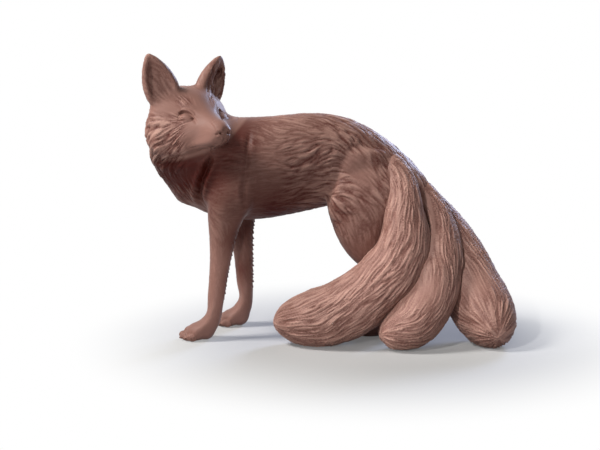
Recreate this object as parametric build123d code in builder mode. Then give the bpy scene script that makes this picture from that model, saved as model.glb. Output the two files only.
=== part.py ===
from build123d import *

import os
from collections import namedtuple
from math import cos, pi, radians, sin, sqrt

# A standing fox ornament with three tails, looking back over its left shoulder.
# Millimetres, +Z up, the fox faces -X. It is cast in tinted resin as separate pieces. The seams
# at the neck and legs are flat, and the ears and tails seat on the surfaces that they grow from.
# Each seam is pinned with a steel dowel and glued.

# Frame: the origin is the middle of the footprint, on the surface that the fox stands on.
# The tails all sweep to the left side, so the body's median plane stands off to one side.
median_y = 8.3
middle_x = -0.8

# Seams
leg_seam_height = 46.0
neck_seam_x = -47.0
neck_seam_height = 72.0
neck_seam_lean = 34.0  # degrees that the seam's normal leans forward from straight up

# Dowels: steel pins, half in each of the two pieces that they join
neck_dowel_radius = 2.0
neck_dowel_length = 20.0
leg_dowel_radius = 1.5
leg_dowel_length = 16.0
tail_dowel_radius = 1.5
tail_dowel_length = 14.0
near_tail_dowel_share = 0.17  # of its middle, along the tail
middle_tail_dowel_share = 0.17
outer_tail_dowel_share = 0.15
ear_dowel_radius = 0.75
ear_dowel_length = 7.0
ear_dowel_height = 6.0  # of its middle, along the ear from its root
dowel_clearance = 0.05  # on the radius
dowel_end_room = 0.5  # glue room past each end

# Head: its own frame has the lateral axis to the head's left, then up, then forward
head_x = -54.8
head_y = -4.0
head_height = 90.0
head_turn = 125.0  # degrees to the left of the way the body faces
ear_spread = 22.5  # lean of the ear's axis to the side, in degrees
ear_turn = 25.0  # degrees that the ear's opening turns outwards
ear_length = 23.5
ear_wall = 1.7
ear_hollow_forward = 1.9  # the hollow's shift to the front of the ear

# Tails: root and full radius, and the share of the length that the round tip takes
near_tail_root = 5.2
near_tail_full = 11.8
middle_tail_root = 5.0
middle_tail_full = 10.6
outer_tail_root = 4.8
outer_tail_full = 12.2
tail_tip_share = 0.22
tail_full_from = 0.62  # share of the length where the tail has grown to its full radius
tail_end_radius = 1.0
tail_body_steps = 7
tail_tip_steps = 4

# A station of the trunk or of a limb: its centre, the lean of its axis from straight down
# towards the front in degrees, and its half depth and half width.
Station = namedtuple("Station", "x y z lean deep wide")

neck_station = Station(-57.4, 0, 76.2, -38, 15.8, 13.5)
# The neck's upper end lies inside the skull and follows it
throat_station = Station(head_x - 4.2, 0, head_height - 4.0, -30, 8.5, 8.5)

trunk_stations = [
    neck_station,
    Station(-48.5, 0, 72.2, -50, 19.6, 15.0),
    Station(-38.0, 0, 67.6, -68, 21.2, 16.0),
    Station(-22.0, 0, 67.6, -87, 20.2, 16.6),
    Station(-6.0, 0, 70.0, -94, 18.8, 15.2),
    Station(8.0, 0, 69.6, -84, 16.0, 13.8),
    Station(17.0, 0, 65.6, -62, 13.4, 12.8),
    Station(25.0, 0, 60.0, -52, 11.2, 11.2),
    Station(31.0, 0, 54.0, -45, 7.8, 8.4),
    Station(34.0, 0, 51.0, -45, 4.0, 4.2),
]

left_foreleg_stations = [
    Station(-33.0, -7.0, 79.0, 0, 5.0, 3.0),
    Station(-35.5, -10.3, 68.0, 5, 9.5, 6.8),
    Station(-38.6, -11.6, 57.0, 8, 9.4, 7.0),
    Station(-42.2, -11.8, 46.0, 8, 6.2, 5.7),
    Station(-43.6, -11.6, 38.0, 8, 4.8, 4.7),
    Station(-44.8, -11.5, 29.0, 6, 3.9, 4.0),
    Station(-45.6, -11.5, 19.0, 5, 3.5, 3.7),
    Station(-46.7, -11.5, 12.0, 14, 3.7, 4.0),
    Station(-48.8, -11.5, 7.0, 38, 4.4, 4.8),
    Station(-53.0, -11.5, 4.2, 78, 4.4, 5.4),
    Station(-57.4, -11.5, 3.1, 90, 3.5, 5.0),
    Station(-60.4, -11.5, 2.4, 90, 1.5, 2.8),
]

right_foreleg_stations = [
    Station(-33.0, 7.0, 79.0, 0, 5.0, 3.0),
    Station(-34.0, 10.3, 68.0, 0, 9.5, 6.8),
    Station(-34.6, 12.0, 57.0, 0, 9.0, 7.0),
    Station(-36.6, 12.8, 46.0, 0, 6.2, 5.7),
    Station(-36.4, 13.0, 38.0, 0, 4.8, 4.7),
    Station(-35.6, 13.0, 29.0, -2, 3.9, 4.0),
    Station(-35.2, 13.0, 19.0, 0, 3.5, 3.7),
    Station(-35.4, 13.0, 12.0, 12, 3.7, 4.0),
    Station(-37.2, 13.0, 7.0, 38, 4.4, 4.8),
    Station(-41.2, 13.0, 4.2, 78, 4.4, 5.4),
    Station(-45.2, 13.0, 3.1, 90, 3.5, 5.0),
    Station(-48.0, 13.0, 2.4, 90, 1.5, 2.8),
]

left_hind_leg_stations = [
    Station(18.0, -4.6, 75.0, -5, 5.5, 3.6),
    Station(15.5, -8.2, 66.0, 10, 12.4, 6.8),
    Station(12.0, -10.6, 56.0, 8, 14.0, 8.0),
    Station(11.6, -11.2, 46.0, -8, 11.0, 7.6),
    Station(14.5, -10.0, 37.5, -28, 8.6, 6.6),
    Station(19.6, -7.6, 30.0, -36, 6.0, 5.0),
    Station(24.2, -5.4, 22.5, -22, 4.3, 3.9),
    Station(25.2, -4.2, 14.0, 6, 3.4, 3.5),
    Station(23.6, -4.0, 7.6, 36, 4.0, 4.2),
    Station(18.6, -4.0, 4.2, 80, 4.4, 4.9),
    Station(12.6, -4.0, 3.2, 90, 3.6, 4.8),
    Station(8.6, -4.0, 2.4, 90, 1.5, 2.8),
]

right_hind_leg_stations = [
    Station(18.0, 4.6, 75.0, -5, 5.5, 3.6),
    Station(15.5, 8.2, 66.0, 10, 12.4, 6.8),
    Station(12.0, 10.6, 56.0, 8, 14.0, 8.0),
    Station(12.6, 11.4, 46.0, -10, 11.0, 7.6),
    Station(16.6, 11.6, 37.5, -30, 8.6, 6.4),
    Station(22.2, 11.8, 30.0, -38, 6.0, 5.0),
    Station(27.2, 12.0, 22.5, -22, 4.3, 3.9),
    Station(28.2, 12.0, 14.0, 6, 3.4, 3.5),
    Station(26.6, 12.0, 7.6, 36, 4.0, 4.2),
    Station(21.6, 12.0, 4.2, 80, 4.4, 4.9),
    Station(15.6, 12.0, 3.2, 90, 3.6, 4.8),
    Station(11.6, 12.0, 2.4, 90, 1.5, 2.8),
]

# Head stations: reach forward of the head's centre, rise, half width, half height
FaceStation = namedtuple("FaceStation", "reach rise wide high")

skull_stations = [
    FaceStation(-17.0, 0.0, 5.0, 5.5),
    FaceStation(-14.0, -0.4, 10.5, 9.0),
    FaceStation(-8.0, -0.8, 13.8, 10.2),
    FaceStation(-2.0, -1.4, 14.2, 10.6),
    FaceStation(3.0, -2.4, 11.6, 10.4),
    FaceStation(7.0, -4.0, 8.4, 9.2),
    FaceStation(11.0, -5.8, 6.6, 7.6),
    FaceStation(15.0, -7.0, 5.6, 6.4),
    FaceStation(19.0, -7.6, 4.9, 5.5),
    FaceStation(22.0, -7.5, 4.0, 4.4),
    FaceStation(24.2, -7.2, 2.2, 2.5),
]

# Cheek ruff stations on one side: reach, side, rise, half length, half height
RuffStation = namedtuple("RuffStation", "reach side rise long high")

ruff_stations = [
    RuffStation(-1.0, 6.6, -3.4, 9.0, 9.0),
    RuffStation(-2.0, 11.6, -5.0, 8.0, 9.8),
    RuffStation(-3.0, 15.2, -6.8, 5.4, 8.6),
    RuffStation(-3.8, 17.4, -8.0, 2.2, 5.0),
]

# The ear's root, inside the head, in the head's frame; then its stations: share of its length,
# half width, half depth. The hollow opens to the front of the ear.
ear_side = 8.0
ear_rise = 0.0
ear_reach = -2.8
EarStation = namedtuple("EarStation", "share wide deep")

ear_stations = [
    EarStation(0.0, 4.4, 3.6),
    EarStation(0.3, 6.9, 4.7),
    EarStation(0.55, 6.3, 4.0),
    EarStation(0.78, 4.5, 2.9),
    EarStation(0.93, 2.2, 1.6),
    EarStation(1.0, 0.8, 0.8),
]

hollow_stations = [
    EarStation(0.44, 6.7, 4.4),
    EarStation(0.55, 6.3, 4.0),
    EarStation(0.7, 5.2, 3.3),
    EarStation(0.85, 3.2, 2.3),
]

near_tail_route = [
    (17, -3, 74),
    (25.2, -7, 69.5),
    (29.6, -10, 60),
    (31, -13.8, 48),
    (27, -18, 34),
    (15, -20.5, 21),
    (0, -20.5, 12.2),
    (-12, -19.5, 9.8),
    (-22.5, -18.5, 8.8),
]

middle_tail_route = [
    (21, 2, 66),
    (32.5, 0.5, 59.5),
    (39, -5, 48.5),
    (41.2, -12.5, 34.5),
    (38, -20, 20.5),
    (29.5, -26, 9.8),
    (18.5, -31, 8.4),
]

outer_tail_route = [
    (21, 7, 64),
    (32.5, 8.5, 57.5),
    (41.5, 5, 46.5),
    (48.8, -2, 33),
    (55.8, -11, 19),
    (60.3, -20, 11),
    (62, -32.5, 7.6),
]


def at(x, y, z):
    return Vector(x - middle_x, y + median_y, z)


def limb_axis(lean):
    return Vector(-sin(radians(lean)), 0, -cos(radians(lean)))


# Each oval is drawn in quarters, so that a loft joins like to like and does not twist
quarters = [0, 90, 180, 270]


def limb(stations):
    # One smooth loft through the stations of the trunk or of a leg
    with BuildPart() as mass:
        for station in stations:
            centre = at(station.x, station.y, station.z)
            with BuildSketch(Plane(centre, x_dir=(0, 1, 0), z_dir=limb_axis(station.lean))):
                with BuildLine():
                    for quarter in quarters:
                        EllipticalCenterArc((0, 0), station.wide, station.deep, quarter)
                make_face()
        loft()
    return mass.part


def tail_radius(share, root, full):
    # Swells from the root, holds its full size, and ends in a round tip
    tip_from = 1 - tail_tip_share
    if share > tip_from:
        return max(full * sqrt(max(0, 1 - ((share - tip_from) / tail_tip_share) ** 2)), tail_end_radius)
    grown = min(share / tail_full_from, 1)
    return root + (full - root) * (1 - cos(pi * grown)) / 2


def tail_stations():
    # Even along the tail and closer together round the tip
    tip_from = 1 - tail_tip_share
    body = [tip_from * i / tail_body_steps for i in range(tail_body_steps)]
    tip = [tip_from + tail_tip_share * sin(pi / 2 * i / tail_tip_steps) for i in range(tail_tip_steps + 1)]
    return body + tip


def tail(route_points, root, full):
    with BuildLine() as route:
        Spline(*[at(*point) for point in route_points])
    # The normal of the bend keeps the sections from twisting about the route
    bend = (route.line % 0).cross(route.line % 1)
    shares = tail_stations()
    middle = len(shares) // 2 - 1
    with BuildPart() as mass:
        # The tail turns through more than a right angle, so it is lofted in two stretches
        for stretch in (shares[: middle + 1], shares[middle:]):
            for share in stretch:
                along = route.line % share
                with BuildSketch(Plane(route.line @ share, x_dir=along.cross(bend), z_dir=along)):
                    with BuildLine():
                        for quarter in quarters:
                            CenterArc((0, 0), tail_radius(share, root, full), quarter, 90)
                    make_face()
            loft()
    return mass.part, route.line


def dowel(plane, radius, length):
    with BuildPart() as pin:
        with BuildSketch(plane.offset(-length / 2)):
            Circle(radius)
        extrude(amount=length)
    return pin


def dowel_hole(plane, radius, length):
    return dowel(plane, radius + dowel_clearance, length + 2 * dowel_end_room).part


# The head's frame
turn = radians(head_turn)
head_forward = Vector(-cos(turn), -sin(turn), 0)
head_left = Vector(0, 0, 1).cross(head_forward)
face = Plane(at(head_x, head_y, head_height), x_dir=head_left, z_dir=head_forward)


def on_face(side, rise, reach):
    return face.from_local_coords(Vector(side, rise, reach))


def skull():
    with BuildPart() as mass:
        for station in skull_stations:
            centre = on_face(0, station.rise, station.reach)
            with BuildSketch(Plane(centre, x_dir=face.x_dir, z_dir=face.z_dir)):
                with BuildLine():
                    for quarter in quarters:
                        EllipticalCenterArc((0, 0), station.wide, station.high, quarter)
                make_face()
        loft()
    return mass.part


def ruff(hand):
    # hand is 1 for the head's left cheek and -1 for its right cheek
    with BuildPart() as mass:
        for station in ruff_stations:
            centre = on_face(hand * station.side, station.rise, station.reach)
            with BuildSketch(Plane(centre, x_dir=face.z_dir, z_dir=face.x_dir * hand)):
                with BuildLine():
                    for quarter in quarters:
                        EllipticalCenterArc((0, 0), station.long, station.high, quarter)
                make_face()
        loft()
    return mass.part


def ear_plane(hand):
    # Origin at the ear's root, z along the ear, x across its opening
    spread = radians(ear_spread)
    along = face.y_dir * cos(spread) + face.x_dir * (hand * sin(spread))
    opening = face.z_dir.rotate(Axis((0, 0, 0), (0, 0, 1)), hand * ear_turn)
    return Plane(on_face(hand * ear_side, ear_rise, ear_reach), x_dir=opening.cross(along), z_dir=along)


def ear_loft(hand, stations, inset, forward):
    root = ear_plane(hand)
    with BuildPart() as mass:
        for station in stations:
            centre = root.from_local_coords(Vector(0, forward, station.share * ear_length))
            with BuildSketch(Plane(centre, x_dir=root.x_dir, z_dir=root.z_dir)):
                with BuildLine():
                    for quarter in quarters:
                        EllipticalCenterArc((0, 0), station.wide - inset, station.deep - inset / 2, quarter)
                make_face()
        loft()
    return mass.part


# Seam planes
floor = Plane.XY
leg_seam = Plane.XY.offset(leg_seam_height)
neck_lean = radians(neck_seam_lean)
neck_seam = Plane(
    at(neck_seam_x, 0, neck_seam_height), x_dir=(0, 1, 0), z_dir=(-sin(neck_lean), 0, cos(neck_lean))
)


def leg_dowel_plane(stations):
    # On the leg's centre line, at the height of the seam
    for above, below in zip(stations, stations[1:]):
        if above.z >= leg_seam_height >= below.z:
            share = (above.z - leg_seam_height) / (above.z - below.z)
            x = above.x + share * (below.x - above.x)
            y = above.y + share * (below.y - above.y)
            return Plane(at(x, y, leg_seam_height), x_dir=(1, 0, 0), z_dir=(0, 0, 1))


def tail_dowel_plane(line, share):
    return Plane(line @ share, x_dir=(line % share).cross(Vector(0, 0, 1)), z_dir=line % share)


# Masses that the castings are cut from
with BuildPart() as trunk_mass:
    add(limb(trunk_stations))
    add(limb([throat_station, neck_station]))
trunk = trunk_mass.part
left_foreleg_mass = limb(left_foreleg_stations)
right_foreleg_mass = limb(right_foreleg_stations)
left_hind_leg_mass = limb(left_hind_leg_stations)
right_hind_leg_mass = limb(right_hind_leg_stations)
near_tail_mass, near_tail_line = tail(near_tail_route, near_tail_root, near_tail_full)
middle_tail_mass, middle_tail_line = tail(middle_tail_route, middle_tail_root, middle_tail_full)
outer_tail_mass, outer_tail_line = tail(outer_tail_route, outer_tail_root, outer_tail_full)

with BuildPart() as head_mass:
    add(trunk)
    split(bisect_by=neck_seam, keep=Keep.TOP)
    add(skull())
    add(ruff(1))
    add(ruff(-1))

with BuildPart() as torso_mass:
    add(left_foreleg_mass)
    add(right_foreleg_mass)
    add(left_hind_leg_mass)
    add(right_hind_leg_mass)
    split(bisect_by=leg_seam, keep=Keep.TOP)
    add(trunk)
    split(bisect_by=neck_seam, keep=Keep.BOTTOM)

# Dowels, one across each seam
neck_dowel_plane = neck_seam
neck_dowel = dowel(neck_dowel_plane, neck_dowel_radius, neck_dowel_length)
left_ear_dowel_plane = ear_plane(1).offset(ear_dowel_height)
left_ear_dowel = dowel(left_ear_dowel_plane, ear_dowel_radius, ear_dowel_length)
right_ear_dowel_plane = ear_plane(-1).offset(ear_dowel_height)
right_ear_dowel = dowel(right_ear_dowel_plane, ear_dowel_radius, ear_dowel_length)
left_foreleg_dowel_plane = leg_dowel_plane(left_foreleg_stations)
left_foreleg_dowel = dowel(left_foreleg_dowel_plane, leg_dowel_radius, leg_dowel_length)
right_foreleg_dowel_plane = leg_dowel_plane(right_foreleg_stations)
right_foreleg_dowel = dowel(right_foreleg_dowel_plane, leg_dowel_radius, leg_dowel_length)
left_hind_leg_dowel_plane = leg_dowel_plane(left_hind_leg_stations)
left_hind_leg_dowel = dowel(left_hind_leg_dowel_plane, leg_dowel_radius, leg_dowel_length)
right_hind_leg_dowel_plane = leg_dowel_plane(right_hind_leg_stations)
right_hind_leg_dowel = dowel(right_hind_leg_dowel_plane, leg_dowel_radius, leg_dowel_length)
near_tail_dowel_plane = tail_dowel_plane(near_tail_line, near_tail_dowel_share)
near_tail_dowel = dowel(near_tail_dowel_plane, tail_dowel_radius, tail_dowel_length)
middle_tail_dowel_plane = tail_dowel_plane(middle_tail_line, middle_tail_dowel_share)
middle_tail_dowel = dowel(middle_tail_dowel_plane, tail_dowel_radius, tail_dowel_length)
outer_tail_dowel_plane = tail_dowel_plane(outer_tail_line, outer_tail_dowel_share)
outer_tail_dowel = dowel(outer_tail_dowel_plane, tail_dowel_radius, tail_dowel_length)

neck_hole = dowel_hole(neck_dowel_plane, neck_dowel_radius, neck_dowel_length)
left_ear_hole = dowel_hole(left_ear_dowel_plane, ear_dowel_radius, ear_dowel_length)
right_ear_hole = dowel_hole(right_ear_dowel_plane, ear_dowel_radius, ear_dowel_length)
left_foreleg_hole = dowel_hole(left_foreleg_dowel_plane, leg_dowel_radius, leg_dowel_length)
right_foreleg_hole = dowel_hole(right_foreleg_dowel_plane, leg_dowel_radius, leg_dowel_length)
left_hind_leg_hole = dowel_hole(left_hind_leg_dowel_plane, leg_dowel_radius, leg_dowel_length)
right_hind_leg_hole = dowel_hole(right_hind_leg_dowel_plane, leg_dowel_radius, leg_dowel_length)
near_tail_hole = dowel_hole(near_tail_dowel_plane, tail_dowel_radius, tail_dowel_length)
middle_tail_hole = dowel_hole(middle_tail_dowel_plane, tail_dowel_radius, tail_dowel_length)
outer_tail_hole = dowel_hole(outer_tail_dowel_plane, tail_dowel_radius, tail_dowel_length)

# Castings
with BuildPart() as torso:
    add(torso_mass.part)
    # Where the head hangs lower than the seam, the skull and cheeks seat into the chest
    add(skull(), mode=Mode.SUBTRACT)
    add(ruff(1), mode=Mode.SUBTRACT)
    add(ruff(-1), mode=Mode.SUBTRACT)
    add(neck_hole, mode=Mode.SUBTRACT)
    add(left_foreleg_hole, mode=Mode.SUBTRACT)
    add(right_foreleg_hole, mode=Mode.SUBTRACT)
    add(left_hind_leg_hole, mode=Mode.SUBTRACT)
    add(right_hind_leg_hole, mode=Mode.SUBTRACT)
    add(near_tail_hole, mode=Mode.SUBTRACT)
    add(middle_tail_hole, mode=Mode.SUBTRACT)
    add(outer_tail_hole, mode=Mode.SUBTRACT)

with BuildPart() as head:
    add(head_mass.part)
    add(neck_hole, mode=Mode.SUBTRACT)
    add(left_ear_hole, mode=Mode.SUBTRACT)
    add(right_ear_hole, mode=Mode.SUBTRACT)

with BuildPart() as left_ear:
    add(ear_loft(1, ear_stations, 0, 0))
    add(ear_loft(1, hollow_stations, ear_wall, ear_hollow_forward), mode=Mode.SUBTRACT)
    add(head_mass.part, mode=Mode.SUBTRACT)
    add(left_ear_hole, mode=Mode.SUBTRACT)

with BuildPart() as right_ear:
    add(ear_loft(-1, ear_stations, 0, 0))
    add(ear_loft(-1, hollow_stations, ear_wall, ear_hollow_forward), mode=Mode.SUBTRACT)
    add(head_mass.part, mode=Mode.SUBTRACT)
    add(right_ear_hole, mode=Mode.SUBTRACT)

with BuildPart() as left_foreleg:
    add(left_foreleg_mass)
    split(bisect_by=leg_seam, keep=Keep.BOTTOM)
    split(bisect_by=floor, keep=Keep.TOP)
    add(trunk, mode=Mode.SUBTRACT)
    add(left_foreleg_hole, mode=Mode.SUBTRACT)

with BuildPart() as right_foreleg:
    add(right_foreleg_mass)
    split(bisect_by=leg_seam, keep=Keep.BOTTOM)
    split(bisect_by=floor, keep=Keep.TOP)
    add(trunk, mode=Mode.SUBTRACT)
    add(right_foreleg_hole, mode=Mode.SUBTRACT)

with BuildPart() as left_hind_leg:
    add(left_hind_leg_mass)
    split(bisect_by=leg_seam, keep=Keep.BOTTOM)
    split(bisect_by=floor, keep=Keep.TOP)
    add(trunk, mode=Mode.SUBTRACT)
    add(left_hind_leg_hole, mode=Mode.SUBTRACT)

with BuildPart() as right_hind_leg:
    add(right_hind_leg_mass)
    split(bisect_by=leg_seam, keep=Keep.BOTTOM)
    split(bisect_by=floor, keep=Keep.TOP)
    add(trunk, mode=Mode.SUBTRACT)
    add(right_hind_leg_hole, mode=Mode.SUBTRACT)

with BuildPart() as near_tail:
    add(near_tail_mass)
    split(bisect_by=floor, keep=Keep.TOP)
    add(torso_mass.part, mode=Mode.SUBTRACT)
    add(left_hind_leg_mass, mode=Mode.SUBTRACT)
    add(near_tail_hole, mode=Mode.SUBTRACT)

with BuildPart() as middle_tail:
    add(middle_tail_mass)
    split(bisect_by=floor, keep=Keep.TOP)
    add(torso_mass.part, mode=Mode.SUBTRACT)
    add(near_tail_mass, mode=Mode.SUBTRACT)
    add(middle_tail_hole, mode=Mode.SUBTRACT)

with BuildPart() as outer_tail:
    add(outer_tail_mass)
    split(bisect_by=floor, keep=Keep.TOP)
    add(torso_mass.part, mode=Mode.SUBTRACT)
    add(near_tail_mass, mode=Mode.SUBTRACT)
    add(middle_tail_mass, mode=Mode.SUBTRACT)
    add(outer_tail_hole, mode=Mode.SUBTRACT)

pieces = {
    "torso": torso,
    "head": head,
    "left_ear": left_ear,
    "right_ear": right_ear,
    "left_foreleg": left_foreleg,
    "right_foreleg": right_foreleg,
    "left_hind_leg": left_hind_leg,
    "right_hind_leg": right_hind_leg,
    "near_tail": near_tail,
    "middle_tail": middle_tail,
    "outer_tail": outer_tail,
    "neck_dowel": neck_dowel,
    "left_ear_dowel": left_ear_dowel,
    "right_ear_dowel": right_ear_dowel,
    "left_foreleg_dowel": left_foreleg_dowel,
    "right_foreleg_dowel": right_foreleg_dowel,
    "left_hind_leg_dowel": left_hind_leg_dowel,
    "right_hind_leg_dowel": right_hind_leg_dowel,
    "near_tail_dowel": near_tail_dowel,
    "middle_tail_dowel": middle_tail_dowel,
    "outer_tail_dowel": outer_tail_dowel,
}

os.makedirs("parts", exist_ok=True)
for name, piece in pieces.items():
    piece.part.label = name
    export_step(piece.part, f"parts/{name}.step")
    print(name, len(piece.part.solids()), round(piece.part.volume))
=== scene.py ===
import math

import bpy
import numpy as np
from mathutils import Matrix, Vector
from mathutils.bvhtree import BVHTree


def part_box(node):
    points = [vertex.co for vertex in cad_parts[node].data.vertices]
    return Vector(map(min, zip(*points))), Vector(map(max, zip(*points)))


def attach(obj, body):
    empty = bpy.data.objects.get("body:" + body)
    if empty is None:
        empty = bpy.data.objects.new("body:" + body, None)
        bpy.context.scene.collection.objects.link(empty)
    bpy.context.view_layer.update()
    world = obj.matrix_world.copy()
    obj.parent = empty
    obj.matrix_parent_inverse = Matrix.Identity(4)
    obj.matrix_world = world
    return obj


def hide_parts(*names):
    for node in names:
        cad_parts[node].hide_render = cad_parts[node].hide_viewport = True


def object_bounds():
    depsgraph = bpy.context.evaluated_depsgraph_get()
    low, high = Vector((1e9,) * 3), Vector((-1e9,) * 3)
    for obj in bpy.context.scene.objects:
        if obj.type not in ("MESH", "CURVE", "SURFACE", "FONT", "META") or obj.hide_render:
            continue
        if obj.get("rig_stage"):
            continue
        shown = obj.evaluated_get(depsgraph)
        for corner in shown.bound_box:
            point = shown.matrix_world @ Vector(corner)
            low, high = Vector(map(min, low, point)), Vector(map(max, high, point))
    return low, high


# lengths are in millimetres unless a line says otherwise; the frame itself is in metres
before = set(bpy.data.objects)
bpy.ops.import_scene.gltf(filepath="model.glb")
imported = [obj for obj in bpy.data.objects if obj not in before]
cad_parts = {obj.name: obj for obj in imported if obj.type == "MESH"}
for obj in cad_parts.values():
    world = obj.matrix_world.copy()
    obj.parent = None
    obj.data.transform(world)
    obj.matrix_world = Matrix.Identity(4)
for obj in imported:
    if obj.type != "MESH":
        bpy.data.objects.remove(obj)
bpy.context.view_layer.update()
mm = 0.001
rng = np.random.default_rng(41)


# selects these objects alone and makes the first one active
def pick(*objs):
    bpy.ops.object.select_all(action="DESELECT")
    for obj in objs:
        obj.select_set(True)
    bpy.context.view_layer.objects.active = objs[0]


def editAll():
    bpy.ops.object.mode_set(mode="EDIT")
    bpy.ops.mesh.select_all(action="SELECT")


def objectMode():
    bpy.ops.object.mode_set(mode="OBJECT")


def joinAs(parts, newName):
    pick(*parts)
    if len(parts) > 1:
        bpy.ops.object.join()
    piece = bpy.context.active_object
    piece.name = newName
    piece.data.name = newName
    return piece


def copyNodes(names, newName):
    # joined copies of CAD nodes, with their loose triangles merged
    copies = []
    for name in names:
        pick(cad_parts[name])
        bpy.ops.object.duplicate()
        copies.append(bpy.context.active_object)
    piece = joinAs(copies, newName)
    for key in [k for k in piece.keys() if k.startswith("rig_")]:
        del piece[key]
    piece.parent = None
    editAll()
    bpy.ops.mesh.remove_doubles(threshold=0.002 * mm)
    objectMode()
    return piece


def modify(piece, kind, **settings):
    pick(piece)
    mod = piece.modifiers.new(kind.lower(), kind)
    for key, value in settings.items():
        setattr(mod, key, value)
    bpy.ops.object.modifier_apply(modifier=mod.name)


def keepLargest(piece):
    # drops the closed hollows that the dowel holes leave inside the casting
    pick(piece)
    name = piece.data.name
    editAll()
    bpy.ops.mesh.separate(type="LOOSE")
    objectMode()
    parts = sorted(bpy.context.selected_objects, key=lambda o: -len(o.data.vertices))
    for extra in parts[1:]:
        bpy.data.objects.remove(extra)
    parts[0].name = name
    parts[0].data.name = name
    return parts[0]


def fuse(piece, voxel, rounds):
    modify(piece, "REMESH", mode="VOXEL", voxel_size=voxel * mm)
    piece = keepLargest(piece)
    modify(piece, "SMOOTH", factor=0.5, iterations=rounds)
    return piece


# the skin's points, normals and edges as arrays, in millimetres
def readPoints(piece):
    co = np.empty(len(piece.data.vertices) * 3)
    piece.data.vertices.foreach_get("co", co)
    return co.reshape(-1, 3) / mm


def readNormals(piece):
    nrm = np.empty(len(piece.data.vertices) * 3, np.float32)
    piece.data.vertex_normals.foreach_get("vector", nrm)
    return nrm.reshape(-1, 3).astype(float)


def readEdges(piece):
    edges = np.empty(len(piece.data.edges) * 2, np.int32)
    piece.data.edges.foreach_get("vertices", edges)
    return edges.reshape(-1, 2)


def writePoints(piece, co):
    piece.data.vertices.foreach_set("co", (co * mm).ravel())
    piece.data.update()


def ramp(values, start, end):
    t = np.clip((values - start) / (end - start), 0, 1)
    return t * t * (3 - 2 * t)


def bell(distance, width):
    return np.exp(-((distance / width) ** 2))


def ball(co, centre, inner, outer):
    # 1 within the inner radius of a place, 0 beyond the outer one
    return ramp(-np.linalg.norm(co - centre, axis=1), -outer, -inner)


def unit(vectors):
    return vectors / np.maximum(np.linalg.norm(vectors, axis=-1, keepdims=True), 1e-9)


def neighbourMean(values, edges):
    count = len(values)
    a, b = edges.T
    degree = np.maximum(np.bincount(edges.ravel(), minlength=count), 1)
    if values.ndim == 1:
        return (np.bincount(a, values[b], count) + np.bincount(b, values[a], count)) / degree
    return np.stack([neighbourMean(values[:, k], edges) for k in range(values.shape[1])], axis=1)


def soften(values, edges, rounds):
    for _ in range(rounds):
        values = 0.5 * values + 0.5 * neighbourMean(values, edges)
    return values


def weighted(piece, weight):
    # the points that a weight reaches, and the edges between them, numbered afresh
    inside = weight > 0.001
    edges = readEdges(piece)
    edges = edges[inside[edges[:, 0]] & inside[edges[:, 1]]]
    renumbered = np.cumsum(inside) - 1
    return inside, renumbered[edges]


# share of a hollow that one round fills, how freely points slide, and rounds between new normals
press = {"out": 0.9, "slide": 0.4, "batch": 10}


def fillCreases(piece, weight, rounds):
    # works like pressing clay into the creases: only hollows move, and only outwards
    inside, edges = weighted(piece, weight)
    hold = weight[inside][:, None]
    for start in range(0, rounds, press["batch"]):
        co = readPoints(piece)
        nrm = readNormals(piece)[inside]
        part = co[inside]
        for _ in range(min(press["batch"], rounds - start)):
            pull = neighbourMean(part, edges) - part
            outward = (pull * nrm).sum(1)
            slide = pull - nrm * outward[:, None]
            filled = nrm * np.maximum(outward, 0)[:, None]
            part = part + (filled * press["out"] + slide * press["slide"]) * hold
        co[inside] = part
        writePoints(piece, co)


def relax(piece, weight, rounds):
    # evens out the surface where the weight is
    inside, edges = weighted(piece, weight)
    hold = 0.5 * weight[inside][:, None]
    co = readPoints(piece)
    part = co[inside]
    for _ in range(rounds):
        part = part + (neighbourMean(part, edges) - part) * hold
    co[inside] = part
    writePoints(piece, co)


# hair: noise that is drawn out along the lie of the fur
class CellMap:
    # finds a point of the skin near any place, by looking it up in a grid of cells
    def __init__(self, co, cell):
        self.cell = cell
        self.low = co.min(0) - 5 * cell
        size = np.ceil((co.max(0) - self.low) / cell).astype(int) + 5
        grid = np.full(size, -1, np.int32)
        spots = ((co - self.low) / cell).astype(int)
        grid[tuple(spots.T)] = np.arange(len(co))
        for _ in range(3):
            for axis in range(3):
                for step in (1, -1):
                    moved = np.roll(grid, step, axis)
                    grid = np.where(grid < 0, moved, grid)
        self.grid = grid

    def find(self, spots, otherwise):
        cells = ((spots - self.low) / self.cell).astype(int)
        cells = np.clip(cells, 0, np.array(self.grid.shape) - 1)
        found = self.grid[tuple(cells.T)]
        return np.where(found < 0, otherwise, found)


def combed(co, nrm, edges, cells, flow, grain, reach, step):
    noise = soften(rng.standard_normal(len(co)), edges, grain)
    noise /= noise.std()
    total = noise.copy()
    steps = int(reach / step)
    for sign in (1, -1):
        spots = co.copy()
        near = np.arange(len(co))
        for k in range(steps):
            spots = spots + flow[near] * (sign * step)
            near = cells.find(spots, near)
            lift = ((spots - co[near]) * nrm[near]).sum(1)
            spots = spots - nrm[near] * lift[:, None]
            total += noise[near] * (0.5 + 0.5 * math.cos(math.pi * (k + 1) / (steps + 1)))
    total -= total.mean()
    return total / total.std()


def strands(field):
    # sharp valleys between rounded locks
    return np.minimum(np.abs(field), 1.7) - 0.8


# The head's own frame: forward, left and up from the middle of the skull
head = {"centre": np.array((-54.0, 4.3, 90.0)), "turn": 125.0}
turn = math.radians(head["turn"])
headForward = np.array((-math.cos(turn), -math.sin(turn), 0.0))
headLeft = np.array((-headForward[1], headForward[0], 0.0))
upward = np.array((0.0, 0.0, 1.0))
medianY = 8.3


def onHead(reach, side, rise):
    return head["centre"] + headForward * reach + headLeft * side + upward * rise


def headPlace(co):
    rel = co - head["centre"]
    return rel @ headForward, rel @ headLeft, rel[:, 2]


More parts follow.
